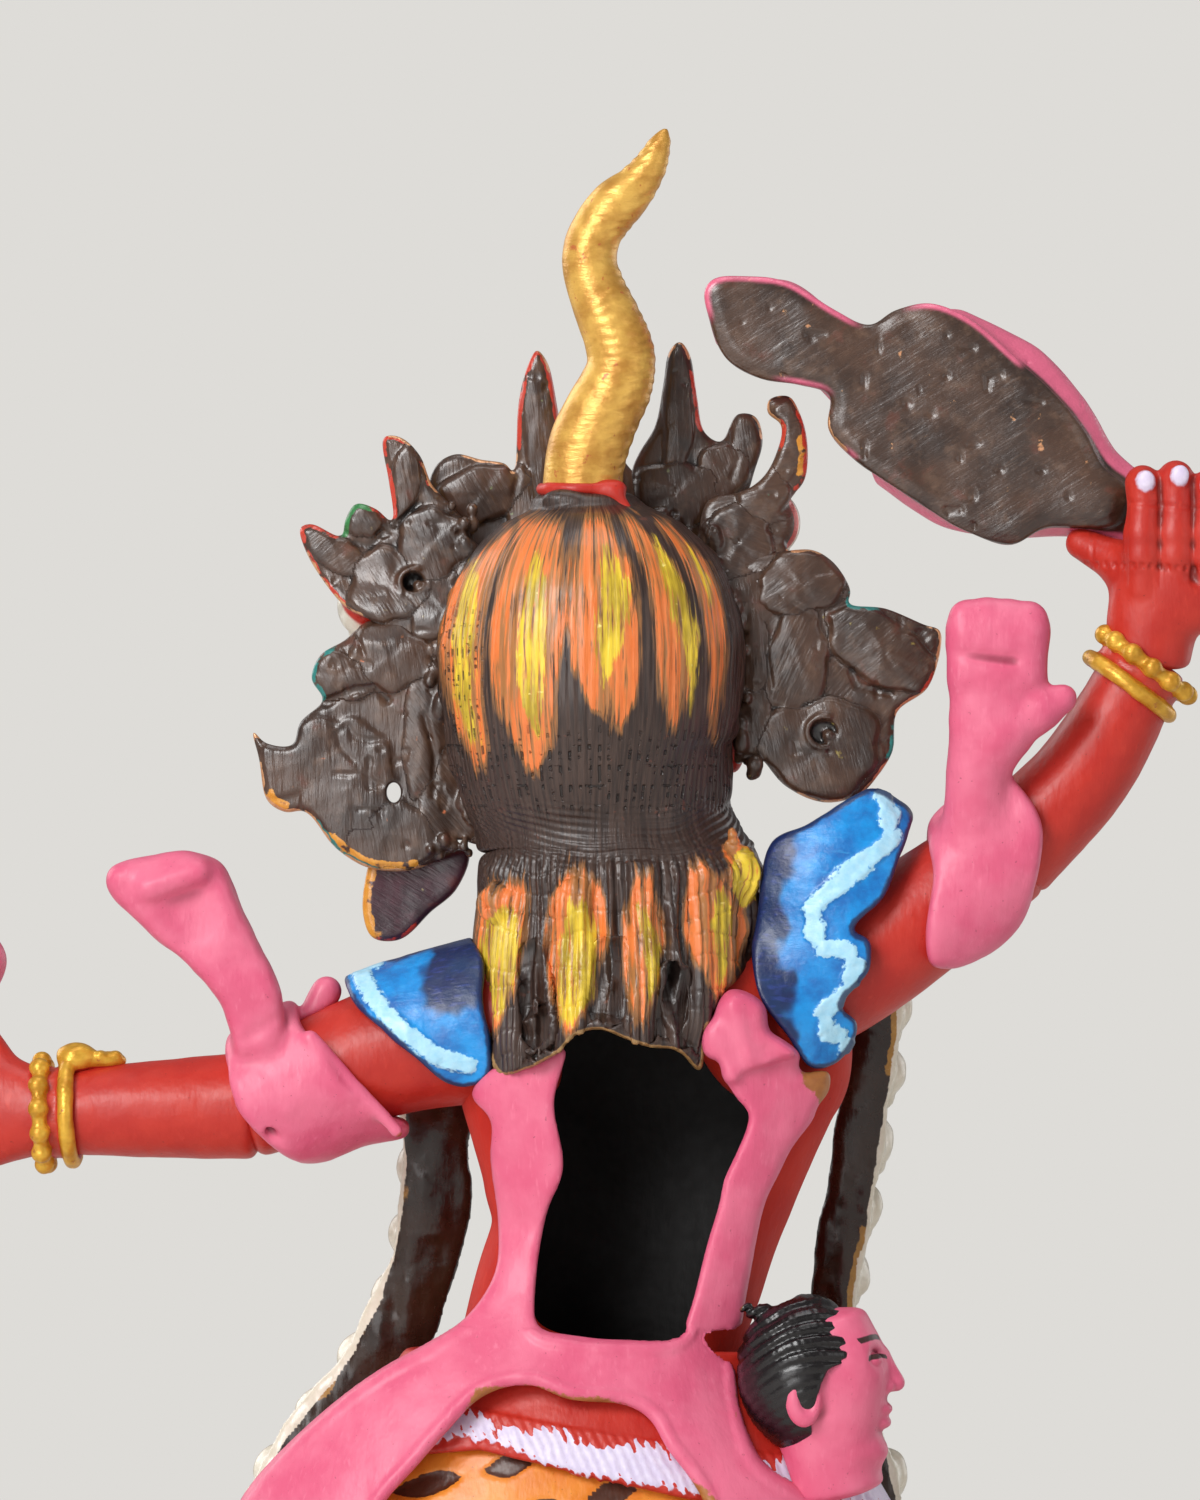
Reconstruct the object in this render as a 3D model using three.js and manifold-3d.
// Painted copper figure of a guardian goddess who strides on a lotus pedestal, a flayed skin on her back.
// It is cast in pieces that are seated on each other. Lengths are millimetres: +X is the figure's left,
// -Y her front and +Z up. The origin is the middle of the pedestal's underside.
import * as THREE from "three";
import { mergeVertices } from "three/addons/utils/BufferGeometryUtils.js";
import Module from "manifold-3d";

const wasm = await Module();
wasm.setup();

// Driving dimensions of the pedestal
const PEDESTAL_LENGTH = 156;
const PEDESTAL_DEPTH = 100;
const PEDESTAL_HEIGHT = 38;
const PEDESTAL_WALL = 3;
const BASE_PLATE_THICKNESS = 1.6;
const DISC_THICKNESS = 4;
const DISC_INSET = 13;
const PETALS = 14;

// Driving dimensions of the castings
const SEAT_GAP = 0.3;
const SHELL_WALL = 2.2;
const HAIR_THICKNESS = 1.8;
const NAPE_THICKNESS = 3;
const COLLAR_THICKNESS = 2.4;
const SKIN_THICKNESS = 2.4;
const BELT_THICKNESS = 1.8;
const SKIRT_WALL = 2.4;
const LEAF_THICKNESS = 2.2;
const BAND_THICKNESS = 1.6;
const PEG_RADIUS = 2.6;
const PEG_LENGTH = 14;
const WEDGE_RADIUS = 1;
const WEDGE_LENGTH = 14;
const SKULL_SPACING = 8.6;
const SKULL_RADIUS = 3.3;

// Landmarks of the figure, from the top of the disc that she stands on: [x, y, z]
const HEAD = [1, 0, 181];
const ARM_ROOT_LEFT = [8, 0, 160];
const ELBOW_LEFT = [44, 0, 149.3];
const WRIST_LEFT = [69, -2, 148.3];
const ARM_ROOT_RIGHT = [-14, 0, 159];
const ELBOW_RIGHT = [-51, 0, 181];
const WRIST_RIGHT = [-68.6, 0, 205];
const HIP_LEFT = [15, -2, 91];
const KNEE_LEFT = [35, -8, 52];
const ANKLE_LEFT = [50, 2, 12];
const HIP_RIGHT = [-11, -2, 91];
const KNEE_RIGHT = [-28, -6, 52];
const ANKLE_RIGHT = [-33, 0, 12];

// Half widths of the limbs
const UPPER_ARM_GIRTH = 8.2;
const ELBOW_GIRTH = 6.7;
const FOREARM_GIRTH = 6.1;
const WRIST_GIRTH = 5.1;
const THIGH_GIRTH = 12;
const KNEE_GIRTH = 9.5;
const CALF_GIRTH = 8.6;
const ANKLE_GIRTH = 5.6;

// Colours of the paint
const RED = 0xc8281c;
const PINK = 0xf0628c;
const BROWN = 0x3a2e2a;
const BLACK = 0x17181a;
const GOLD = 0xd09a30;
const BLUE = 0x0f63b8;
const ORANGE = 0xd9711c;
const WHITE = 0xe6e2dc;
const COPPER = 0x9a5a36;
const MAROON = 0x7c2a1c;

const vector = ([x, y, z]) => new THREE.Vector3(x, y, z);
const between = (a, b, share) => a.map((value, axis) => value + (b[axis] - value) * share);
const offset = (point, dx, dy, dz) => [point[0] + dx, point[1] + dy, point[2] + dz];

// A closed three.js geometry as a solid that can be joined and cut.
function solid(geometry) {
  const loose = geometry.index ? geometry.toNonIndexed() : geometry;
  const bare = new THREE.BufferGeometry().setAttribute("position", loose.getAttribute("position"));
  const merged = mergeVertices(bare, 1e-4);
  const faces = new Uint32Array(merged.index.array);
  const vertProperties = merged.attributes.position.array;
  const build = (triVerts) => new wasm.Manifold(new wasm.Mesh({ numProp: 3, vertProperties, triVerts }));
  const made = build(faces);
  if (made.volume() > 0) return made;
  for (let i = 0; i < faces.length; i += 3) [faces[i + 1], faces[i + 2]] = [faces[i + 2], faces[i + 1]];
  return build(faces);
}

const join = (...solids) => solids.flat().reduce((whole, piece) => whole.add(piece));
const cut = (whole, ...tools) => tools.flat().reduce((rest, tool) => rest.subtract(tool), whole);

// The largest body of a solid, without the crumbs that a cut leaves beside it.
function mainBody(whole) {
  return whole.decompose().reduce((best, body) => (body.volume() > best.volume() ? body : best));
}

function loft(rings, firstTip, lastTip) {
  const sides = rings[0].length;
  const points = [...rings.flat(), firstTip, lastTip];
  const faces = [];
  const ringPoint = (ring, side) => ring * sides + (side % sides);
  for (let side = 0; side < sides; side++) {
    for (let ring = 0; ring + 1 < rings.length; ring++) {
      const [a, b] = [ringPoint(ring, side), ringPoint(ring, side + 1)];
      const [c, d] = [ringPoint(ring + 1, side), ringPoint(ring + 1, side + 1)];
      faces.push(a, b, d, a, d, c);
    }
    faces.push(points.length - 2, ringPoint(0, side + 1), ringPoint(0, side));
    faces.push(points.length - 1, ringPoint(rings.length - 1, side), ringPoint(rings.length - 1, side + 1));
  }
  const geometry = new THREE.BufferGeometry().setFromPoints(points);
  geometry.setIndex(faces);
  return solid(geometry);
}

// A tapered limb through stations [x, y, z, half width, half depth]. Its width lies across it in the X-Z
// plane and its depth towards the back, unless another way is given. Rounded ends stand out by a share of
// the width.
function limb(stations, { sides = 12, steps = 12, grow = 0, round = [0.5, 0.5], back = [0, 1, 0] } = {}) {
  const line = new THREE.CatmullRomCurve3(stations.map(vector));
  const girths = stations.map(([, , , wide, deep = wide]) => new THREE.Vector3(wide + grow, deep + grow, 0));
  const girth = new THREE.CatmullRomCurve3(girths);
  const section = (share, scale, shift) => {
    const along = line.getTangent(share);
    const across = new THREE.Vector3().crossVectors(along, vector(back)).normalize();
    const depth = new THREE.Vector3().crossVectors(across, along);
    const size = girth.getPoint(share);
    const middle = line.getPoint(share).addScaledVector(along, shift * size.x);
    const ring = Array.from({ length: sides }, (_, side) => {
      const angle = (2 * Math.PI * (side + 0.5)) / sides;
      return middle
        .clone()
        .addScaledVector(across, Math.cos(angle) * size.x * scale)
        .addScaledVector(depth, Math.sin(angle) * size.y * scale);
    });
    return { middle, ring };
  };
  const [startRound, endRound] = round;
  const rings = [];
  const shoulder = Math.SQRT1_2;
  if (startRound) rings.push(section(0, shoulder, -startRound * shoulder).ring);
  for (let step = 0; step <= steps; step++) rings.push(section(step / steps, 1, 0).ring);
  if (endRound) rings.push(section(1, shoulder, endRound * shoulder).ring);
  return loft(rings, section(0, 0, -startRound).middle, section(1, 0, endRound).middle);
}

function ball([x, y, z], [rx, ry, rz], across = 10, up = 7) {
  return solid(new THREE.SphereGeometry(1, across, up).scale(rx, ry, rz).translate(x, y, z));
}

// A small lump with flat facets, for toes and the features of a face, which are a few millimetres across.
function pebble([x, y, z], [rx, ry, rz]) {
  return solid(new THREE.IcosahedronGeometry(1, 0).scale(rx, ry, rz).translate(x, y, z));
}

function box(low, high) {
  const size = high.map((value, axis) => value - low[axis]);
  return solid(new THREE.BoxGeometry(...size).translate(...between(low, high, 0.5)));
}

// An outline of [x, z] points, pushed through from yFront to yBack.
function prism(outline, yFront, yBack, holes = []) {
  const shape = new THREE.Shape(outline.map(([x, z]) => new THREE.Vector2(x, z)));
  for (const hole of holes) {
    shape.holes.push(new THREE.Path().absellipse(...hole, 0, 2 * Math.PI));
  }
  const options = { depth: yBack - yFront, bevelEnabled: false, curveSegments: 4 };
  return solid(new THREE.ExtrudeGeometry(shape, options).rotateX(Math.PI / 2).translate(0, yBack, 0));
}

// The outline pushed outwards by a distance.
function swollen(outline, by) {
  const turn = Math.sign(THREE.ShapeUtils.area(outline.map(([x, z]) => new THREE.Vector2(x, z))));
  return outline.map(([x, z], index) => {
    const [px, pz] = outline.at(index - 1);
    const [nx, nz] = outline[(index + 1) % outline.length];
    const along = new THREE.Vector2(nx - px, nz - pz).normalize().multiplyScalar(by * turn);
    return [x + along.y, z - along.x];
  });
}

// A ring of beads round a limb. Its axis runs along `way`.
function beadRing(centre, way, radius, thickness, beads) {
  const sides = 5;
  const axis = vector(way).normalize();
  const turn = new THREE.Quaternion().setFromUnitVectors(new THREE.Vector3(0, 0, 1), axis);
  const points = [];
  const faces = [];
  const count = beads * 2;
  for (let step = 0; step < count; step++) {
    const angle = (2 * Math.PI * step) / count;
    const thick = step % 2 ? thickness * 0.72 : thickness;
    for (let side = 0; side < sides; side++) {
      const tilt = (2 * Math.PI * side) / sides;
      const reach = radius + thick * Math.cos(tilt);
      points.push(
        new THREE.Vector3(reach * Math.cos(angle), reach * Math.sin(angle), thick * Math.sin(tilt))
          .applyQuaternion(turn)
          .add(vector(centre)),
      );
      const [a, b] = [step * sides + side, step * sides + ((side + 1) % sides)];
      const [c, d] = [a, b].map((index) => (index + sides) % (count * sides));
      faces.push(a, c, b, b, c, d);
    }
  }
  const geometry = new THREE.BufferGeometry().setFromPoints(points);
  geometry.setIndex(faces);
  return solid(geometry);
}

function along(from, to) {
  return to.map((value, axis) => value - from[axis]);
}

// Body forms. Each takes the distance by which it is grown, so that what lies on it can be cut to fit.
const TORSO = [
  [2, -1, 94, 17, 11],
  [2, -1, 104, 19, 12],
  [1, -1, 114, 17.5, 11.5],
  [-1.2, -0.5, 124, 17.3, 11.3],
  [-3.5, 0, 131, 17.5, 11.5],
  [-4.5, 0, 137.5, 19.2, 12.2],
  [-5.1, 0, 143.7, 21.4, 13],
  [-5.6, 0, 150, 23.7, 13.5],
  [-6.1, 0, 156, 25.5, 13],
  [-5.6, 0, 162, 23.5, 11.5],
  [-4.8, 0, 167, 17, 9.5],
  [-4, 0, 171, 11, 8],
];
const torsoForm = (grow) => limb(TORSO, { sides: 14, steps: 6, grow, round: [0, 0.2] });

function upperArmForm(root, elbow, lift, grow) {
  const middle = offset(between(root, elbow, 0.5), 0, 0, lift);
  const stations = [
    [...root, UPPER_ARM_GIRTH + 1.4],
    [...middle, UPPER_ARM_GIRTH],
    [...elbow, ELBOW_GIRTH],
  ];
  return limb(stations, { sides: 8, steps: 4, grow, round: [0.3, 0.3] });
}

function forearmForm(elbow, wrist, bow, grow) {
  const stations = [
    [...elbow, ELBOW_GIRTH],
    [...offset(between(elbow, wrist, 0.45), bow[0], 0, bow[1]), FOREARM_GIRTH],
    [...wrist, WRIST_GIRTH],
  ];
  return limb(stations, { sides: 8, steps: 4, grow, round: [0.3, 0.1] });
}

const LIFT_LEFT = 1.6;
const LIFT_RIGHT = -2;
const upperArmLeft = (grow) => upperArmForm(ARM_ROOT_LEFT, ELBOW_LEFT, LIFT_LEFT, grow);
const upperArmRight = (grow) => upperArmForm(ARM_ROOT_RIGHT, ELBOW_RIGHT, LIFT_RIGHT, grow);
const forearmLeft = (grow) => forearmForm(ELBOW_LEFT, WRIST_LEFT, [0, 0], grow);
const forearmRight = (grow) => forearmForm(ELBOW_RIGHT, WRIST_RIGHT, [-1.6, -0.8], grow);
const shouldersForm = (grow) => join(torsoForm(grow), upperArmLeft(grow), upperArmRight(grow));

// The head with its hair, from the nape to the crown of the head.
const HAIR = [
  [-4.6, 0, -5, 13, 11],
  [-3.6, 0, -1, 14.6, 12.4],
  [-2.2, 0.2, 2, 15.4, 13.4],
  [-1.2, 0.5, 6.5, 16.5, 15.5],
  [0, 0.8, 12.7, 17.6, 17.6],
  [0, 1, 19, 18.6, 19],
  [0, 1, 25, 19, 19],
  [0, 1, 31.5, 17.9, 18],
  [0, 0.6, 37, 15.2, 15.4],
  [0, 0.2, 41, 11, 11.4],
  [0, 0, 43.4, 6.4, 6.6],
].map(([x, y, z, wide, deep]) => [...offset(HEAD, x, y, z), wide, deep]);
const headForm = (grow) => limb(HAIR, { sides: 14, steps: 6, grow, round: [0, 0.2] });
const neckForm = (grow) =>
  limb(
    [
      [...offset(HEAD, -5, -1, -14), 9.5, 8.5],
      [...offset(HEAD, -3.6, -1, -5), 9, 9],
      [...offset(HEAD, -3, -1, 3), 11, 10],
    ],
    { sides: 10, steps: 2, grow, round: [0, 0] },
  );

// Skirt sections: x, y, z, half width, half depth and how deep its folds are there.
const SKIRT = [
  [-0.7, -0.5, 122, 20.9, 14.2, 0],
  [0.4, -0.5, 116, 24, 15.4, 0],
  [2, -0.5, 109, 31, 18, 0],
  [3.4, -0.5, 99, 38, 21.2, 0],
  [4, -0.5, 86, 42.6, 24, 0.5],
  [4, -1, 72, 45.4, 26.4, 1.1],
  [4, -1.5, 60, 47, 28, 1.7],
];
const beltRoom = () => skirtForm(BELT_THICKNESS + 2 * SEAT_GAP);
const SKIRT_FOLDS = 7;
const FOLD_POINTS = 3;

function skirtForm(grow, sections = SKIRT) {
  const sides = SKIRT_FOLDS * FOLD_POINTS;
  const rings = sections.map(([x, y, z, wide, deep, fold]) =>
    Array.from({ length: sides }, (_, side) => {
      const angle = (2 * Math.PI * side) / sides;
      const reach = grow + (side % FOLD_POINTS ? fold / 2 : -fold);
      const [across, back] = [(wide + reach) * Math.cos(angle), (deep + reach) * Math.sin(angle)];
      return new THREE.Vector3(x + across, y + back, z);
    }),
  );
  const tip = ([x, y, z]) => new THREE.Vector3(x, y, z);
  return loft(rings, tip(sections[0]), tip(sections.at(-1)));
}

function legForm(hip, knee, ankle, grow) {
  const stations = [
    [...hip, THIGH_GIRTH],
    [...between(hip, knee, 0.55), THIGH_GIRTH - 1],
    [...knee, KNEE_GIRTH],
    [...offset(between(knee, ankle, 0.4), 0, 3, 0), CALF_GIRTH],
    [...ankle, ANKLE_GIRTH],
  ];
  return limb(stations, { sides: 8, steps: 5, grow, round: [0.4, 0] });
}

const FOOT_LENGTH = 25;
const FOOT_WIDTH = 9;
const FOOT_HEIGHT = 9;

// A bare foot, toes towards the front, turned outwards by `splay`.
function footForm(ankle, splay) {
  const heel = [ankle[0] - splay * 0.2, ankle[1] + 5, FOOT_HEIGHT / 2];
  const toes = [ankle[0] + splay, ankle[1] - FOOT_LENGTH + 5, 3];
  const sole = limb(
    [
      [...heel, FOOT_WIDTH / 2 + 0.4, FOOT_HEIGHT / 2],
      [...between(heel, toes, 0.45), FOOT_WIDTH / 2, FOOT_HEIGHT / 2],
      [...toes, FOOT_WIDTH / 2 + 1.2, 3],
    ],
    { sides: 8, steps: 2, round: [0.5, 0.2], back: [0, 0, 1] },
  );
  const toeBalls = [-2, -1, 0, 1, 2].map((index) =>
    pebble(offset(toes, index * 2.5, -1.8 + Math.abs(index) * 0.9, -0.6), [1.2, 2.5, 2.4]),
  );
  const instep = limb(
    [
      [...ankle, ANKLE_GIRTH],
      [...between(offset(ankle, 0, 0, -4), toes, 0.3), FOOT_WIDTH / 2, 4],
    ],
    { sides: 8, steps: 2, round: [0, 0.4] },
  );
  const whole = join(sole, instep, ...toeBalls);
  const floor = box([-200, -200, -40], [200, 200, 0]);
  return cut(whole, floor);
}

// Cloth or skin that lies on a form: what the outline takes from the layer between two distances.
function layer(form, inner, thickness, outline, yFront, yBack) {
  const shell = cut(form(inner + thickness), form(inner));
  return shell.intersect(prism(outline, yFront, yBack));
}

function stack(sections, sides) {
  const rings = sections.map(([z, rx, ry]) =>
    Array.from({ length: sides }, (_, side) => {
      const angle = (2 * Math.PI * side) / sides;
      return new THREE.Vector3(rx * Math.cos(angle), ry * Math.sin(angle), z);
    }),
  );
  const tip = ([z]) => new THREE.Vector3(0, 0, z);
  return loft(rings, tip(sections[0]), tip(sections.at(-1)));
}

function rod(from, to, radius, sides = 12) {
  const way = vector(to).sub(vector(from));
  const geometry = new THREE.CylinderGeometry(radius, radius, way.length(), sides);
  const turn = new THREE.Quaternion().setFromUnitVectors(new THREE.Vector3(0, 1, 0), way.normalize());
  return solid(geometry.applyQuaternion(turn).translate(...between(from, to, 0.5)));
}

// Pedestal: a hollow oval casting with two rows of petals, open below, where the base plate closes it.
const STAND_HEIGHT = PEDESTAL_HEIGHT + DISC_THICKNESS;
const HALF_LENGTH = PEDESTAL_LENGTH / 2;
const HALF_DEPTH = PEDESTAL_DEPTH / 2;
// Rows of the pedestal's side from the floor up: share of its height, step inwards, how far the petals
// stand out there, how far their middles reach beyond the valleys between them, and a half where they are
// staggered.
const PEDESTAL_ROWS = [
  [0, 0, 0, 0, 0],
  [0.09, 0, 0, 0, 0],
  [0.12, 6, 0, 0, 0.5],
  [0.19, 6, 4.4, -2.6, 0.5],
  [0.3, 6.6, 5, 0, 0.5],
  [0.44, 10, 2.4, 0, 0.5],
  [0.5, 13, 0, 0, 0],
  [0.56, 11, 2.4, 0, 0],
  [0.72, 8, 5, 0, 0],
  [0.86, 7.4, 6.4, 3.4, 0],
  [0.9, 10, 0, 0, 0],
  [1, 10, 0, 0, 0],
];
const PETAL_POINTS = 3;

function petalRows() {
  const sides = PETALS * PETAL_POINTS;
  return PEDESTAL_ROWS.map(([share, step, bulge, reach, stagger]) =>
    Array.from({ length: sides }, (_, side) => {
      const across = (side / PETAL_POINTS + stagger) % 1;
      const middle = 1 - (2 * across - 1) ** 2;
      const angle = (2 * Math.PI * side) / sides;
      const inwards = step - bulge * middle;
      return new THREE.Vector3(
        (HALF_LENGTH - inwards) * Math.cos(angle),
        (HALF_DEPTH - inwards) * Math.sin(angle),
        share * PEDESTAL_HEIGHT + reach * middle,
      );
    }),
  );
}

function pegAt(ankle, radius, lowest) {
  return rod([ankle[0], ankle[1], 1], [ankle[0], ankle[1], lowest], radius, 8);
}

// A wedge runs through the peg from front to back, just under the pedestal's top.
function wedgeAt(ankle, radius) {
  const z = PEDESTAL_HEIGHT - PEDESTAL_WALL - SEAT_GAP - WEDGE_RADIUS;
  const [x, y] = ankle;
  return rod([x, y - WEDGE_LENGTH / 2, z], [x, y + WEDGE_LENGTH / 2, z], radius, 6);
}

const pegHoles = [ANKLE_LEFT, ANKLE_RIGHT].map((ankle) =>
  pegAt(ankle, PEG_RADIUS + SEAT_GAP, -STAND_HEIGHT + 8).translate([0, 0, STAND_HEIGHT]),
);

function lotusPedestal() {
  const tip = (z) => new THREE.Vector3(0, 0, z);
  const body = loft(petalRows(), tip(0), tip(PEDESTAL_HEIGHT));
  const [waistShare, waistStep] = PEDESTAL_ROWS[6];
  const foot = [HALF_LENGTH - PEDESTAL_WALL, HALF_DEPTH - PEDESTAL_WALL];
  const waist = foot.map((half) => half - waistStep);
  const hollow = stack(
    [
      [-1, ...foot],
      [0.09 * PEDESTAL_HEIGHT, ...foot],
      [0.4 * waistShare * PEDESTAL_HEIGHT, ...waist],
      [PEDESTAL_HEIGHT - PEDESTAL_WALL, ...waist],
    ],
    24,
  );
  return cut(body, hollow, pegHoles);
}

function basePlate() {
  const reach = PEDESTAL_WALL + SEAT_GAP;
  return stack(
    [
      [0, HALF_LENGTH - reach, HALF_DEPTH - reach],
      [BASE_PLATE_THICKNESS, HALF_LENGTH - reach, HALF_DEPTH - reach],
    ],
    24,
  );
}

function standingDisc() {
  const [rx, ry] = [HALF_LENGTH - DISC_INSET, HALF_DEPTH - DISC_INSET];
  const disc = stack(
    [
      [PEDESTAL_HEIGHT + SEAT_GAP, rx - 1, ry - 1],
      [PEDESTAL_HEIGHT + DISC_THICKNESS * 0.4, rx, ry],
      [PEDESTAL_HEIGHT + DISC_THICKNESS * 0.8, rx, ry],
      [STAND_HEIGHT, rx - 1, ry - 1],
    ],
    24,
  );
  return cut(disc, pegHoles);
}

function leg(hip, knee, ankle, splay) {
  const foot = footForm(ankle, splay).translate([0, 0, SEAT_GAP]);
  const peg = pegAt(ankle, PEG_RADIUS, -PEG_LENGTH);
  const whole = join(legForm(hip, knee, ankle, 0), foot, peg);
  const wedgeHole = wedgeAt(ankle, WEDGE_RADIUS + SEAT_GAP).translate([0, 0, -STAND_HEIGHT]);
  const torsoRoom = box([-60, -60, TORSO[0][2] - SEAT_GAP], [60, 60, 120]);
  return cut(whole, torsoRoom, wedgeHole);
}

function anklet(hip, knee, ankle) {
  const centre = between(knee, ankle, 0.86);
  const beads = beadRing(centre, along(knee, ankle), ANKLE_GIRTH + 2.4, 1.4, 7);
  return cut(beads, legForm(hip, knee, ankle, SEAT_GAP));
}

// Back opening of the torso and the outlines of what lies on her back, as [x, z].
const BACK_OPENING = [
  [5.4, 146], [4.6, 153.5], [3, 159.5], [-6, 160.5], [-13, 158], [-17.6, 151], [-17, 145.5],
  [-14.7, 140],
  [-13.9, 132.5], [-10, 120.8], [0, 121.2], [7, 123.2], [7.4, 126], [6.4, 137.5],
];
const CAVITY_BOTTOM = 116;
const CAVITY_TOP = 164;

function torsoShell() {
  const breasts = [ball([-15, -10.5, 149], [8, 6, 7.5], 8, 6), ball([3.5, -10.5, 149], [8, 6, 7.5], 8, 6)];
  const belly = ball([-1, -6, 129], [14, 8.5, 10], 10, 6);
  const cavityLevels = box([-60, -60, CAVITY_BOTTOM], [60, 60, CAVITY_TOP]);
  const lining = limb(TORSO, { sides: 10, steps: 4, grow: -SHELL_WALL, round: [0, 0] });
  const hollow = lining.intersect(cavityLevels);
  const opening = prism(BACK_OPENING, 0, 40);
  return cut(join(torsoForm(0), belly, ...breasts), hollow, opening);
}

// The arms meet the torso and each other with a seat gap.
function upperArm(form, forearm) {
  return cut(form(0), torsoForm(SEAT_GAP), forearm(SEAT_GAP));
}

// The collar's right half stands up in a fold beside the ear fan.
const collarFold = (grow) => ball([-29.5, 1, 174], [11.5 + grow, 8.5 + grow, 15 + grow], 9, 6);

const foldedShoulder = (grow) => join(shouldersForm(grow), collarFold(grow));

const COLLAR_LEFT = [
  [31.9, 166.9], [25, 170.4], [17.2, 173], [17.4, 162.5], [15.6, 157.3], [13.8, 152.8], [16.9, 151.7],
  [24, 156.5], [29.5, 161.5],
];
const COLLAR_RIGHT = [
  [-21.4, 173], [-21.6, 180], [-25, 186], [-32.5, 189], [-38.7, 187], [-37.5, 180], [-33.7, 176.2],
  [-32.7, 172.5], [-33.6, 168.7], [-31.2, 162.5], [-31.9, 157.5], [-29.4, 154], [-26.4, 155.2],
  [-21.8, 163], [-18.9, 164.6], [-19.4, 169],
];

const napeForm = (grow) => limb(NAPE, { sides: 14, steps: 3, grow, round: [0, 0] });

function collar(form, outline, yFront) {
  const shell = layer(form, SEAT_GAP, COLLAR_THICKNESS, outline, yFront, 40);
  return cut(shell, neckForm(SEAT_GAP), headForm(SEAT_GAP), napeForm(SEAT_GAP));
}

const NAPE_OUTLINE = [
  [15.2, 180], [12.5, 181.5], [-2.5, 181.9], [-16.9, 182.5], [-20.6, 181], [-20.8, 175], [-20.3, 170.6],
  [-18, 166], [-15.2, 163.4], [-12.2, 160], [-12.4, 153.8], [-6.2, 156.9], [0, 159.1], [3.1, 158.4],
  [7.5, 155.4], [12.5, 153.5], [14.3, 157.5], [16.2, 162.5], [16, 170], [15.5, 175],
];
const NAPE = [
  [-2, 0, 187, 15, 15],
  [-2.3, 0, 181, 17.2, 16.6],
  [-2.5, 0, 174, 18.4, 17.8],
  [-2, 0, 168, 18.6, 19],
  [-1, 0, 160, 17.6, 20],
  [-0.6, 0, 150, 16.4, 20.4],
];

function napeHair() {
  const curtain = layer(napeForm, -NAPE_THICKNESS, NAPE_THICKNESS, NAPE_OUTLINE, 1, 40);
  return cut(curtain, headForm(SEAT_GAP), neckForm(SEAT_GAP), shouldersForm(SEAT_GAP));
}

function hairCap() {
  const behindFace = [
    [-3.5, 178], [-6, 200], [-11.5, 214], [-13, 222], [-8, 229], [40, 229], [40, 178],
  ];
  const side = prism(behindFace, -40, 40).rotate([0, 0, 90]);
  return cut(headForm(0), headForm(-HAIR_THICKNESS)).intersect(side);
}

function headCasting() {
  const face = (x, y, z) => offset(HEAD, x, y, z);
  const features = [
    pebble(face(0, -18.5, 17), [2.6, 3.4, 4.4]),
    pebble(face(0, -19.6, 14.6), [3.6, 3, 2.2]),
    pebble(face(-6, -16.4, 24), [6, 2.6, 2]),
    pebble(face(6, -16.4, 24), [6, 2.6, 2]),
    pebble(face(-6.2, -16, 20.2), [3.6, 2.8, 2.6]),
    pebble(face(6.2, -16, 20.2), [3.6, 2.8, 2.6]),
    pebble(face(0, -17, 28), [1.8, 2, 2.8]),
    pebble(face(-8.5, -13.5, 13), [5, 4.4, 4.4]),
    pebble(face(8.5, -13.5, 13), [5, 4.4, 4.4]),
    pebble(face(0, -17, 9.6), [5.2, 2.4, 1.5]),
    pebble(face(0, -16.6, 6.2), [4.4, 2.6, 1.5]),
    pebble(face(0, -14, 2.6), [5.4, 4, 3]),
    pebble(face(-17.6, -4.4, 16), [2, 3.2, 6.2]),
    pebble(face(17.6, -4.4, 16), [2, 3.2, 6.2]),
  ];
  const mouth = ball(face(0, -18.4, 8), [4, 2.6, 1.1], 8, 6);
  const skull = headForm(-HAIR_THICKNESS - SEAT_GAP);
  const hairRoom = headForm(0).intersect(box([-60, -6, 150], [60, 60, 240]));
  const frontFeatures = cut(join(features), hairRoom);
  return cut(join(skull, neckForm(0), frontFeatures), torsoForm(SEAT_GAP), mouth);
}

const TOPKNOT = [
  [2.2, 2, 225.8, 4.9], [0.8, 2.4, 231.2, 5], [-1.4, 2.6, 237.5, 4.5], [-2.6, 2.4, 243.7, 4.1],
  [-1.6, 2, 248.7, 4], [0.2, 1.6, 253.7, 3.8], [1.2, 1.4, 258.1, 3.5], [0, 1.4, 261.9, 3.2],
  [-2.7, 1.6, 264.6, 2.7], [-5.6, 1.8, 267.1, 2.1], [-7.2, 2, 269.4, 1.4], [-8.3, 2, 271.3, 0.5],
];

function topknot() {
  const tuft = limb(TOPKNOT, { sides: 8, steps: 10, round: [0, 0.6] });
  return cut(tuft, headForm(SEAT_GAP), topknotTie(SEAT_GAP));
}

function topknotTie(grow = 0) {
  const ring = new THREE.TorusGeometry(4.6, 1 + grow, 6, 12);
  return solid(ring.translate(2, 2, 226.6));
}

const BAND_LOW = 214;
const BAND_HIGH = 219;
const bandForm = (grow) => headForm(BAND_THICKNESS + SEAT_GAP + grow);

const bandLevels = (grow) => box([-60, -60, BAND_LOW - grow], [60, grow - 3, BAND_HIGH + grow]);
const bandRoom = () => bandForm(SEAT_GAP).intersect(bandLevels(SEAT_GAP));

function crownBand() {
  const shell = cut(bandForm(0), headForm(SEAT_GAP));
  return shell.intersect(bandLevels(0));
}

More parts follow.
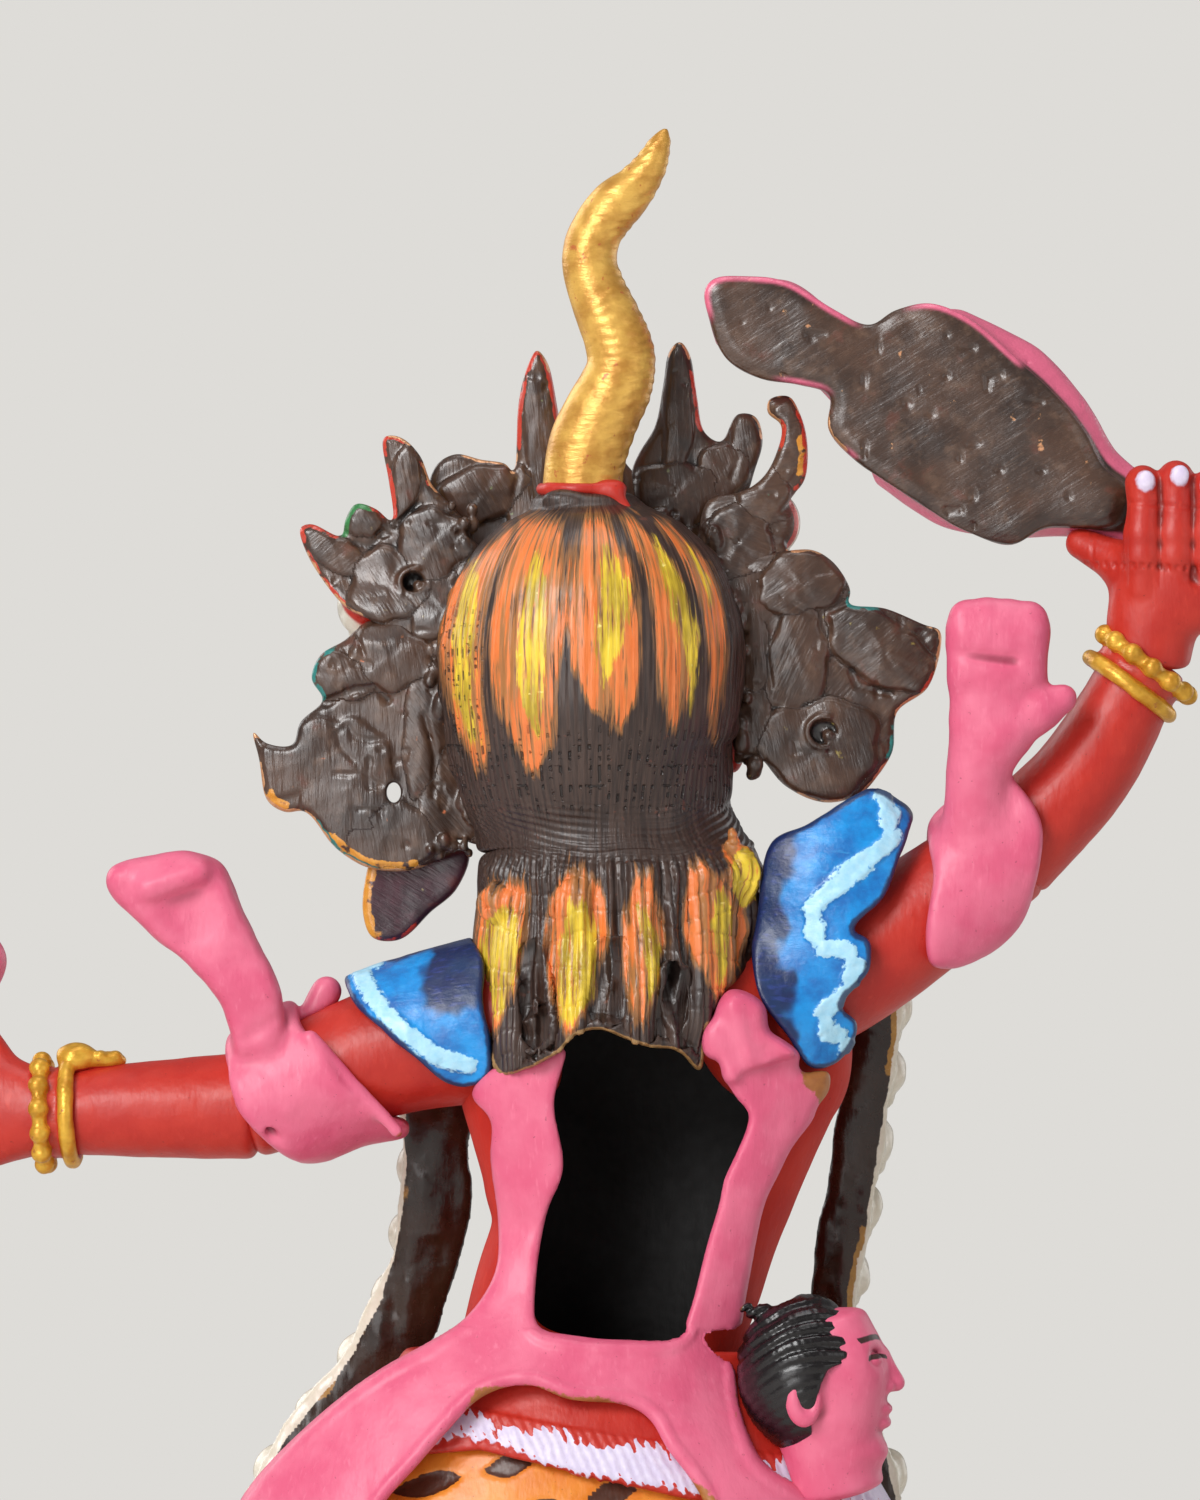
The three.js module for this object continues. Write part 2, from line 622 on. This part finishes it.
const LEAF_INNER_LEFT = [
  [10.9, 228.7], [10.2, 237.5], [9, 242.2], [7.9, 244], [6.5, 242.2], [5.5, 237.5], [4.7, 232.5],
  [3.6, 226.2],
  [4, 219], [12.5, 219.6], [16.2, 222.5], [18.5, 225.2], [20.4, 229.7], [18.1, 230.9], [15, 230.2],
  [11.9, 229.7],
];
const LEAF_OUTER_LEFT = [
  [27.1, 232.9], [25, 232.9], [22.5, 230.6], [21, 226.9], [18.7, 224.4], [16.2, 221.2], [15.6, 217.5],
  [17.5, 211], [20, 207.5], [25, 207.5], [28.7, 210], [31.9, 211.7], [34.7, 215], [36.9, 218.7],
  [37.6, 221.6], [36.2, 222.1], [32.5, 220.6], [31.9, 222.7], [30.6, 224.6], [28.1, 224], [26.1, 222.5],
  [26.5, 227.5],
];
const LEAF_INNER_RIGHT = [
  [-10, 245], [-11.2, 243.5], [-12.2, 238.1], [-13.1, 233.7], [-15.2, 232.5], [-17.2, 235.9],
  [-19.5, 235.6],
  [-20.4, 232.5], [-19.4, 228.7], [-18.1, 225], [-12.5, 219.6], [-4, 219], [-4.4, 225], [-4, 228.7],
  [-5, 231.2], [-6.9, 234.4], [-8, 240], [-8.7, 243.7],
];
const LEAF_OUTER_RIGHT = [
  [-21.2, 237.7], [-23.7, 238.1], [-25.2, 235.6], [-26, 231.9], [-25.7, 227.7], [-24.6, 225],
  [-25.2, 221.2],
  [-24.6, 217], [-20.5, 209], [-16, 211], [-14.6, 217.5], [-15, 221.2], [-15.6, 225], [-18.1, 226.2],
  [-20.6, 228.1], [-22.2, 231.2], [-22.7, 234.4], [-21, 236],
];
const LEAF_CENTRE = [
  [1, 240], [-1, 234], [-4, 229], [-8, 226], [-9, 221], [-6, 216], [8, 216], [11, 221], [10, 226],
  [6, 229], [3, 234],
];
const FAN_LEFT = [
  [31.9, 207.5], [35, 205.6], [36.1, 202.7], [34.7, 200], [37.5, 197.2], [38.5, 194.4], [41.9, 194.7],
  [43.5, 196.2], [42.7, 192.5], [41.7, 187.5], [39.4, 186], [36.9, 186], [33.1, 181.5], [29, 179],
  [23.7, 178.7], [20, 180.2], [18.1, 182.5], [14, 182], [14, 207.5], [20, 209.5], [25, 210.4],
  [29.4, 209.7],
];
const FAN_LEFT_HOLE = [25.6, 188.1, 1.1, 1.8];
const FAN_RIGHT = [
  [-16, 216.5], [-23.7, 218.7], [-26.9, 218.7], [-29.6, 216.9], [-31.4, 213.7], [-31.2, 212.1],
  [-35.6, 211.5], [-40.6, 209.4], [-42.5, 208.7], [-42.6, 206.2], [-41, 201.5], [-37.2, 198.5],
  [-36.6, 193.7], [-35, 190.4], [-31.2, 189.3], [-26.2, 188.9], [-21.9, 189.6], [-17, 190.5],
  [-15, 200], [-15, 210],
];
const PENDANT_LEFT = [
  [29.4, 177.5], [28.5, 180], [22.5, 180.5], [16.5, 181], [18.1, 176.2], [21.2, 173.5], [25, 170],
  [28.5, 170.2], [29.7, 173.1],
];

// A crown leaf or ear fan: a flat-backed plate with a skull or boss on its front, cut to fit the head.
function leaf(outline, yBack, skull, holes = []) {
  const plate = prism(outline, yBack - LEAF_THICKNESS, yBack, holes);
  const front = yBack - LEAF_THICKNESS;
  const [x, z, r] = skull;
  const face = ball([x, front - r * 0.25, z], [r, r * 0.85, r * 1.15], 8, 5);
  return cut(join(plate, face), headForm(SEAT_GAP), bandRoom(), topknotTie(SEAT_GAP));
}

const LAYER_FAN = -1.6;
const LAYER_OUTER = LAYER_FAN - LEAF_THICKNESS - SEAT_GAP;
const LAYER_INNER = LAYER_OUTER - LEAF_THICKNESS - 2.4;
const LAYER_CENTRE = LAYER_INNER - LEAF_THICKNESS - 6;

// Hands: a palm and five fingers.
function handLeft(grow = 0) {
  const w = WRIST_LEFT;
  const palm = limb(
    [
      [...w, WRIST_GIRTH, WRIST_GIRTH],
      [...offset(w, 6, -0.5, 0.4), 7, 4.2],
      [...offset(w, 12, -1, 0.2), 7.8, 3.8],
    ],
    { sides: 8, steps: 2, grow, round: [0, 0.3] },
  );
  const fingers = [0, 1, 2, 3].map((i) =>
    limb(
      [
        [...offset(w, 11 + i * 0.6, -2, -5 + i * 3.2), 1.9],
        [...offset(w, 15 - i * 0.2, -6.5, -8 + i * 3.2), 1.9],
        [...offset(w, 10.5, -9.5, -11 + i * 3.4), 1.6],
      ],
      { sides: 5, steps: 2, grow, round: [0, 0.7], back: [0, 0, 1] },
    ),
  );
  const thumb = limb(
    [
      [...offset(w, 6, -1, 5), 2.4],
      [...offset(w, 9, -2.4, 10), 2.2],
      [...offset(w, 9.6, -3.4, 13.6), 1.8],
    ],
    { sides: 5, steps: 2, grow, round: [0, 0.7] },
  );
  return join(palm, thumb, ...fingers);
}

function handRight(grow = 0) {
  const w = WRIST_RIGHT;
  const palm = limb(
    [
      [...w, WRIST_GIRTH],
      [...offset(w, -1.6, 1, 6), 6.4, 4.2],
      [...offset(w, -5, 2.4, 12.5), 9, 3],
    ],
    { sides: 8, steps: 2, grow, round: [0, 0.1] },
  );
  const fingers = [0, 1, 2, 3].map((i) => {
    const x = 0.7 - i * 4.7;
    const reach = [22.6, 23.6, 22.8, 20][i];
    return limb(
      [
        [...offset(w, x, 3.6, 10.5), 2.5],
        [...offset(w, x, 5, 16), 2.45],
        [...offset(w, x - 0.2, 4.8, reach), 2.2],
      ],
      { sides: 5, steps: 2, grow, round: [0, 0.7] },
    );
  });
  const thumb = limb(
    [
      [...offset(w, 3.4, 0, 7), 2.6],
      [...offset(w, 6, -2, 11), 2.4],
      [...offset(w, 7.4, -5, 13.2), 2],
    ],
    { sides: 5, steps: 2, grow, round: [0, 0.7] },
  );
  return join(palm, thumb, ...fingers);
}

function bracelet(elbow, wrist, share, forearm) {
  const centre = between(elbow, wrist, share);
  const chain = beadRing(centre, along(elbow, wrist), WRIST_GIRTH + 2, 1.6, 9);
  return cut(chain, forearm(SEAT_GAP));
}

// A leafy flower stands on the left bracelet.
function braceletLeft() {
  const flower = [
    ball(offset(WRIST_LEFT, -3.6, 1, 7), [2.6, 2.4, 1.9], 6, 4),
    ball(offset(WRIST_LEFT, -7, 0.6, 6.6), [2.8, 2, 1.2], 6, 4),
  ];
  return cut(join(bracelet(ELBOW_LEFT, WRIST_LEFT, 0.955, forearmLeft), ...flower), forearmLeft(SEAT_GAP));
}

// The small corpse that she swings as a club: flat cast back, body in relief in front.
const CLUB_BACK = [
  [-13.1, 251.2], [-14.4, 252.7], [-20, 252.9], [-23.7, 252.2], [-29.4, 248.7], [-33.7, 246.9],
  [-36.9, 248.7],
  [-41.2, 249.6], [-46.2, 247.7], [-51.2, 243.5], [-57.5, 237.5], [-60.6, 233.7], [-63.1, 229],
  [-66, 226.2],
  [-64.4, 221.9], [-60, 221.6], [-55.6, 221.5], [-51.5, 219.4], [-45.6, 221.2], [-37.5, 226.2],
  [-31.2, 230.6],
  [-28.5, 234], [-28.7, 238.1], [-25, 239.4], [-20, 240.2], [-15.6, 242.9], [-13.7, 247.5],
];
const CLUB_BODY = [
  [-16, -5, 248, 4], [-22, -5.6, 246.6, 6.2, 5], [-28.5, -5, 243.6, 4.4, 4], [-33, -4.8, 241, 5.6, 4],
  [-40, -5, 238, 12.2, 5.2], [-48, -5, 233.4, 12.8, 5.2], [-56, -4.6, 229, 10, 4.6],
  [-62, -4.2, 225.8, 6, 3.8],
  [-71, -3.4, 221.6, 3.8, 3.2], [-84, -3.4, 214.6, 3, 2.8],
];
const CLUB_BACK_FACE = 1;

function corpseClub() {
  const plate = prism(CLUB_BACK, CLUB_BACK_FACE - 4, CLUB_BACK_FACE);
  const body = limb(CLUB_BODY, { sides: 8, steps: 8, round: [0.4, 0.6] });
  const behind = box([-100, CLUB_BACK_FACE - 1.2, 190], [0, 40, 270]);
  return cut(join(plate, cut(body, behind)), handRight(SEAT_GAP));
}

// The flayed skin: a sheet over her back and hips, a foot over her left arm and a hand over her right.
const BACK = [
  [-5.6, 0, 167, 20, 11.6],
  [-5.8, 0, 162, 25.2, 13.2],
  [-6.1, 0, 156, 26.2, 13.8],
  [-5.6, 0, 150, 24.8, 14.2],
  [-4.8, 0, 140, 21.4, 13.8],
  [-3.5, 0, 131, 19.4, 13.2],
  [-1.2, -0.3, 124, 20.8, 14.6],
  [0.5, -0.5, 117, 25.8, 17.6],
  [2, -0.5, 110, 33.2, 20.8],
  [3.5, -0.5, 100, 40.6, 24],
  [4, -0.5, 88, 45, 26.6],
  [4, -1, 68, 49.3, 30],
];
const backForm = (grow) => limb(BACK, { sides: 14, steps: 7, grow });
const PELT = [
  [3.9, 154], [5.9, 146.2], [6.9, 137.5], [7.9, 125], [6.9, 122.7], [0, 120.6], [-10.4, 120.2],
  [-14.4, 132.5],
  [-15.2, 140], [-17.5, 145], [-18.1, 150], [-15.4, 154.2], [-13.2, 158.7], [-16.2, 162.6], [-19, 161.8],
  [-24.6, 156.2], [-27.2, 151.2], [-25, 146.2], [-21.2, 138.7], [-19.4, 130], [-18.3, 121.2],
  [-17.6, 115],
  [-20, 106], [-26, 102], [-33, 98], [-38, 90], [-33, 80], [-27, 72], [-21, 76], [-16, 88], [-13.1, 100],
  [-11.2, 105.6], [-6.2, 111.2], [0, 113.1], [8.7, 115], [13.7, 113.1], [21.2, 105], [26.9, 100],
  [30, 92.5],
  [34, 84], [37, 74], [48, 74], [50, 85], [48, 92.5], [44.6, 101], [36, 110.8], [28.6, 117.8],
  [19.4, 124.2],
  [13.9, 127.5], [13.7, 140], [14.9, 150.4], [12.6, 152.2],
];

function skinPelt() {
  const sheet = layer(backForm, 0, SKIN_THICKNESS, PELT, 0.5, 60);
  return cut(sheet, torsoForm(SEAT_GAP), beltRoom());
}

// A skin tube round the bend of an arm, cut to its outline.
function sleeve(root, elbow, wrist, lift, outline, hanging) {
  const stations = [
    [...offset(between(root, elbow, 0.3), 0, 0, lift * 0.7), UPPER_ARM_GIRTH + 1.2],
    [...offset(between(root, elbow, 0.65), 0, 0, lift), UPPER_ARM_GIRTH + 0.4],
    [...elbow, ELBOW_GIRTH + 0.9],
    [...between(elbow, wrist, 0.45), FOREARM_GIRTH + 1.4],
  ];
  const options = { sides: 8, steps: 4 };
  const arm = limb(stations, options);
  const tube = limb(stations, { ...options, grow: SKIN_THICKNESS, round: [0, 0] });
  const skin = tube.intersect(prism(outline, -40, 40));
  return cut(join(skin, ...hanging), arm);
}

const FOOT_WRAP = [
  [46.6, 158.5], [37.5, 163.4], [31.2, 156], [24.4, 146.9], [24.2, 144.4], [36.2, 140], [42.5, 144],
  [46.2, 150],
];
const SKIN_FOOT = [
  [41, 6, 155, 4.2, 3.8], [42.4, 7.4, 161, 4, 3.4], [45, 8, 166, 4.6, 3.4], [49, 8, 171, 5.4, 3.4],
  [53, 8, 175.6, 6.4, 3.2], [55.2, 7.8, 178.6, 6.6, 2.6],
];

function skinFootWrap() {
  const foot = limb(SKIN_FOOT, { sides: 8, steps: 4, round: [0, 0.35] });
  return sleeve(ARM_ROOT_LEFT, ELBOW_LEFT, WRIST_LEFT, LIFT_LEFT, FOOT_WRAP, [foot]);
}

const HAND_WRAP = [
  [-42.6, 188], [-50, 190.6], [-53.1, 188], [-55, 184], [-54.4, 177], [-52.5, 172], [-48.1, 168],
  [-44.1, 166.5],
  [-41.2, 167], [-40.9, 173.7], [-41.5, 178.7], [-40.9, 183.4],
];
const SKIN_PALM = [
  [-46.9, 6, 183, 3.9, 3.6], [-46.9, 8.4, 190.5, 3.7, 2.9], [-48.4, 9.4, 196.4, 5.3, 2.5],
  [-49.3, 9.8, 202, 5.6, 2.4], [-49.4, 9.8, 206.4, 5.7, 2.2],
];

function skinHandWrap() {
  const palm = limb(SKIN_PALM, { sides: 7, steps: 3, round: [0, 0.2] });
  const fingers = [0, 1, 2, 3].map((i) => {
    const x = -44.9 - i * 3;
    const tip = [x, 9.6, 211.8 - Math.abs(i - 1.3) * 0.5, 1.7];
    return limb([[x, 9.8, 204.5, 1.9], [x, 9.8, 208.5, 1.85], tip], { sides: 5, steps: 1, round: [0, 0.6] });
  });
  const thumb = limb([[-50, 9.4, 195.4, 2.8], [-54.6, 9.6, 198.4, 2.1], [-58, 9.8, 200, 1.6]], {
    sides: 6,
    steps: 2,
    round: [0, 0.7],
  });
  const hand = [palm, thumb, ...fingers];
  return sleeve(ARM_ROOT_RIGHT, ELBOW_RIGHT, WRIST_RIGHT, LIFT_RIGHT, HAND_WRAP, hand);
}

const CHEST_KNOT = [
  [22, -9, 163, 3.6, 2.6], [12, -13.4, 158.6, 3.2, 2.4], [-1, -16.4, 154.6, 3, 2.6],
  [-6, -17.4, 153.6, 4.2, 3.6],
  [-11, -16.4, 154.6, 3, 2.6], [-21, -12.6, 160, 3.2, 2.4], [-28, -9, 167, 3.6, 2.6],
];

function skinKnot() {
  const band = limb(CHEST_KNOT, { sides: 6, steps: 6, back: [0, 0, 1] });
  const tails = [-1, 1].map((side) =>
    limb(
      [
        [-6, -17.6, 152.6, 2.4, 2],
        [-6 + side * 4, -18.6, 146, 2.6, 2],
        [-6 + side * 5.4, -18.2, 139, 3.4, 1.6],
      ],
      { sides: 6, steps: 2 },
    ),
  );
  return cut(join(band, ...tails), shouldersForm(SEAT_GAP), torsoShell(), collarRoom);
}

const collarRoom = [COLLAR_LEFT, COLLAR_RIGHT].map((outline) =>
  shouldersForm(COLLAR_THICKNESS + 2 * SEAT_GAP).intersect(prism(swollen(outline, SEAT_GAP), -40, 40)),
);

// The head of the flayed skin hangs at her right hip in profile: forward is -X.
const SKIN_HEAD = [-25.6, 13.4, 116];
const at = (forward, side, up) => offset(SKIN_HEAD, -forward, side, up);
const skullForm = (grow) => ball(SKIN_HEAD, [8.4 + grow, 7.8 + grow, 9.6 + grow], 10, 7);

function skinHead() {
  const face = limb(
    [
      [...at(3.6, 0, 6.6), 4.6, 6],
      [...at(5.4, 0, 1), 5.2, 6.6],
      [...at(5, 0, -5.5), 5.2, 6],
      [...at(6.4, 0, -10), 3.4, 4.4],
    ],
    { sides: 8, steps: 3, round: [0.4, 0.4] },
  );
  const bridge = [...at(9.8, 0, 2.6), 1, 1.1];
  const nose = limb([bridge, [...at(11.2, 0, -0.6), 1.4, 1.7]], { sides: 6, steps: 1 });
  const lips = [pebble(at(9.8, 0, -4), [1.3, 2.8, 0.9]), pebble(at(9.6, 0, -5.8), [1.3, 2.5, 0.9])];
  const ears = [-1, 1].map((side) => pebble(at(-0.8, side * 7.4, -4.2), [2.2, 1.5, 4]));
  const nape = [...at(1.6, 0, -6), 5.6, 5.6];
  const neck = limb([nape, [...at(3.4, -1, -14), 6.4, 5.6]], { sides: 8, steps: 1 });
  const whole = join(skullForm(-1), face, nose, ...lips, ...ears, neck);
  return cut(whole, backForm(SKIN_THICKNESS + SEAT_GAP), beltRoom(), skinHeadHair(true));
}

// Hair of the hanging head: a shell over the back of the skull, behind the hairline.
function skinHeadHair(room = false) {
  const hairline = [
    [-26, 131], [-33.6, 126.4], [-31.6, 121.5], [-31.4, 117], [-27.6, 115.4], [-25.4, 112],
    [-26, 105.4], [-24, 102],
    [-10, 102], [-10, 131],
  ];
  const outline = room ? swollen(hairline, SEAT_GAP) : hairline;
  const shell = cut(skullForm(room ? 1 : 0.7), skullForm(room ? -6 : -1 + SEAT_GAP));
  return cut(shell.intersect(prism(outline, -40, 60)), backForm(SKIN_THICKNESS + SEAT_GAP), beltRoom());
}

// Garland of skulls: a flat strip down each side of her front to the middle of the skirt, skulls on it.
const GARLAND_LEFT = [
  [20.6, -7, 152.4], [20.6, -11.4, 145], [20.8, -13, 137.5], [22.4, -14.6, 128.7], [26, -16.4, 120],
  [31, -17.6, 112.5],
  [37, -17.6, 105], [41, -17.4, 97], [43.4, -17.6, 86], [39, -21.6, 75], [28, -27.4, 66.6],
  [18, -30.2, 62], [8.4, -31.2, 60],
];
const GARLAND_RIGHT = [
  [-34.8, -6.4, 164.4], [-34.6, -10.6, 157], [-33.1, -12.6, 147.5], [-31.9, -13.8, 140],
  [-30.6, -15, 132.5],
  [-29.4, -16.4, 125], [-30, -17.4, 117], [-32.6, -17.6, 108], [-35, -17.8, 98], [-36.4, -18.6, 86],
  [-32, -22.6, 75],
  [-21, -27.8, 66.6], [-10, -30.6, 62], [-0.4, -31.2, 60],
];
const beltTop = () => skirtForm(BELT_THICKNESS + 2 * SEAT_GAP).intersect(box([-80, -80, 96], [80, 80, 130]));

function garland(route) {
  const line = new THREE.CatmullRomCurve3(route.map(vector));
  const skulls = Math.floor(line.getLength() / SKULL_SPACING);
  const stations = Array.from({ length: skulls * 2 + 1 }, (_, index) => {
    const { x, y, z } = line.getPointAt(index / (skulls * 2));
    const atSkull = index % 2;
    const forward = atSkull ? SKULL_RADIUS * 0.7 : 0;
    return [x * (1 + forward / 100), y - forward, z, atSkull ? 4.6 : 3.4, atSkull ? SKULL_RADIUS : 1.1];
  });
  const strip = limb(stations, { sides: 6, steps: skulls * 2, round: [0.2, 0.2] });
  return cut(strip, shouldersForm(SEAT_GAP), collarRoom, skirtForm(SEAT_GAP), beltTop());
}

const BELT = [
  [-45, 120], [-45, 97], [-25, 99], [-11, 101], [2, 104], [15, 107], [27, 106], [36, 103], [45, 98],
  [45, 120],
];

function waistBelt() {
  return layer(skirtForm, SEAT_GAP, BELT_THICKNESS, BELT, -60, 60);
}

function tigerSkirt() {
  const [top, hem] = [SKIRT[0], SKIRT.at(-1)];
  const above = [...top.slice(0, 2), top[2] + 5, ...top.slice(3)];
  const below = [...hem.slice(0, 2), hem[2] - 5, ...hem.slice(3)];
  const inside = skirtForm(-SKIRT_WALL, [above, ...SKIRT, below]);
  return cut(skirtForm(0), inside);
}

function heartOffering() {
  const heart = join(
    ball(offset(WRIST_LEFT, 12, -5, 18.6), [6.6, 4.6, 5.4], 8, 6),
    ball(offset(WRIST_LEFT, 12.6, -5, 23), [4, 3.2, 4.6], 6, 5),
  );
  return cut(heart, handLeft(SEAT_GAP));
}

const group = new THREE.Group();
group.name = "guardian_figure";
const figure = new THREE.Group();
figure.position.z = STAND_HEIGHT;
group.add(figure);

function place(parent, name, shape, colour, metalness = 0, roughness = 0.5) {
  const mesh = mainBody(shape).getMesh();
  const geometry = new THREE.BufferGeometry();
  const points = new Float32Array(mesh.vertProperties);
  geometry.setAttribute("position", new THREE.BufferAttribute(points, mesh.numProp));
  geometry.setIndex(new THREE.BufferAttribute(new Uint32Array(mesh.triVerts), 1));
  geometry.computeVertexNormals();
  const material = new THREE.MeshStandardMaterial({ color: colour, metalness, roughness });
  const part = new THREE.Mesh(geometry, material);
  part.name = name;
  parent.add(part);
}

place(group, "lotus_pedestal", lotusPedestal(), GOLD, 0.6, 0.4);
place(group, "base_plate", basePlate(), COPPER, 0.9, 0.4);
place(group, "standing_disc", standingDisc(), ORANGE);
place(group, "peg_wedge_left", wedgeAt(ANKLE_LEFT, WEDGE_RADIUS), COPPER, 0.9, 0.4);
place(group, "peg_wedge_right", wedgeAt(ANKLE_RIGHT, WEDGE_RADIUS), COPPER, 0.9, 0.4);

place(figure, "leg_left", leg(HIP_LEFT, KNEE_LEFT, ANKLE_LEFT, 6), RED);
place(figure, "leg_right", leg(HIP_RIGHT, KNEE_RIGHT, ANKLE_RIGHT, -8), RED);
place(figure, "anklet_left", anklet(HIP_LEFT, KNEE_LEFT, ANKLE_LEFT), GOLD, 0.7, 0.4);
place(figure, "anklet_right", anklet(HIP_RIGHT, KNEE_RIGHT, ANKLE_RIGHT), GOLD, 0.7, 0.4);
place(figure, "torso_shell", torsoShell(), RED);
place(figure, "tiger_skirt", tigerSkirt(), ORANGE);
place(figure, "waist_belt", waistBelt(), RED);
place(figure, "head_casting", headCasting(), RED);
place(figure, "hair_cap", hairCap(), BROWN);
place(figure, "nape_hair", napeHair(), BROWN);
place(figure, "topknot", topknot(), GOLD, 0.8, 0.35);
place(figure, "topknot_tie", topknotTie(), RED);
place(figure, "crown_band", crownBand(), GOLD, 0.7, 0.4);
place(figure, "crown_leaf_centre", leaf(LEAF_CENTRE, LAYER_CENTRE, [1, 222, 4.6]), BROWN);
place(figure, "crown_leaf_inner_left", leaf(LEAF_INNER_LEFT, LAYER_INNER, [12.5, 225, 3.6]), BROWN);
place(figure, "crown_leaf_outer_left", leaf(LEAF_OUTER_LEFT, LAYER_OUTER, [28, 212, 4.4]), BROWN);
place(figure, "crown_leaf_inner_right", leaf(LEAF_INNER_RIGHT, LAYER_INNER, [-13, 226, 3.8]), BROWN);
place(figure, "crown_leaf_outer_right", leaf(LEAF_OUTER_RIGHT, LAYER_OUTER, [-21.2, 221, 4.4]), BROWN);
place(figure, "ear_fan_left", leaf(FAN_LEFT, LAYER_FAN, [33, 192, 3.6], [FAN_LEFT_HOLE]), BROWN);
place(figure, "ear_fan_right", leaf(FAN_RIGHT, LAYER_FAN, [-27.5, 197, 4.4]), BROWN);
place(figure, "ear_pendant_left", cut(prism(PENDANT_LEFT, -6.4, -4.2), headForm(SEAT_GAP)), MAROON);
place(figure, "collar_left", collar(shouldersForm, COLLAR_LEFT, -40), BLUE);
place(figure, "collar_right", collar(foldedShoulder, COLLAR_RIGHT, -6), BLUE);
place(figure, "upper_arm_left", upperArm(upperArmLeft, forearmLeft), RED);
place(figure, "forearm_left", forearmLeft(0), RED);
place(figure, "hand_left", cut(handLeft(), forearmLeft(SEAT_GAP), braceletLeft()), RED);
place(figure, "bracelet_left", braceletLeft(), GOLD, 0.8, 0.35);
place(figure, "heart_offering", heartOffering(), PINK);
place(figure, "upper_arm_right", upperArm(upperArmRight, forearmRight), RED);
place(figure, "forearm_right", forearmRight(0), RED);
place(figure, "hand_right", cut(handRight(), forearmRight(SEAT_GAP)), RED);
place(figure, "bracelet_right", bracelet(ELBOW_RIGHT, WRIST_RIGHT, 0.92, forearmRight), GOLD, 0.8, 0.35);
place(figure, "corpse_club", corpseClub(), BROWN);
place(figure, "skin_pelt", skinPelt(), PINK);
place(figure, "skin_foot_wrap", skinFootWrap(), PINK);
place(figure, "skin_hand_wrap", skinHandWrap(), PINK);
place(figure, "skin_knot", skinKnot(), PINK);
place(figure, "skin_head", skinHead(), PINK);
place(figure, "skin_head_hair", skinHeadHair(), BLACK);
place(figure, "garland_left", garland(GARLAND_LEFT), WHITE);
place(figure, "garland_right", garland(GARLAND_RIGHT), WHITE);

export default group;
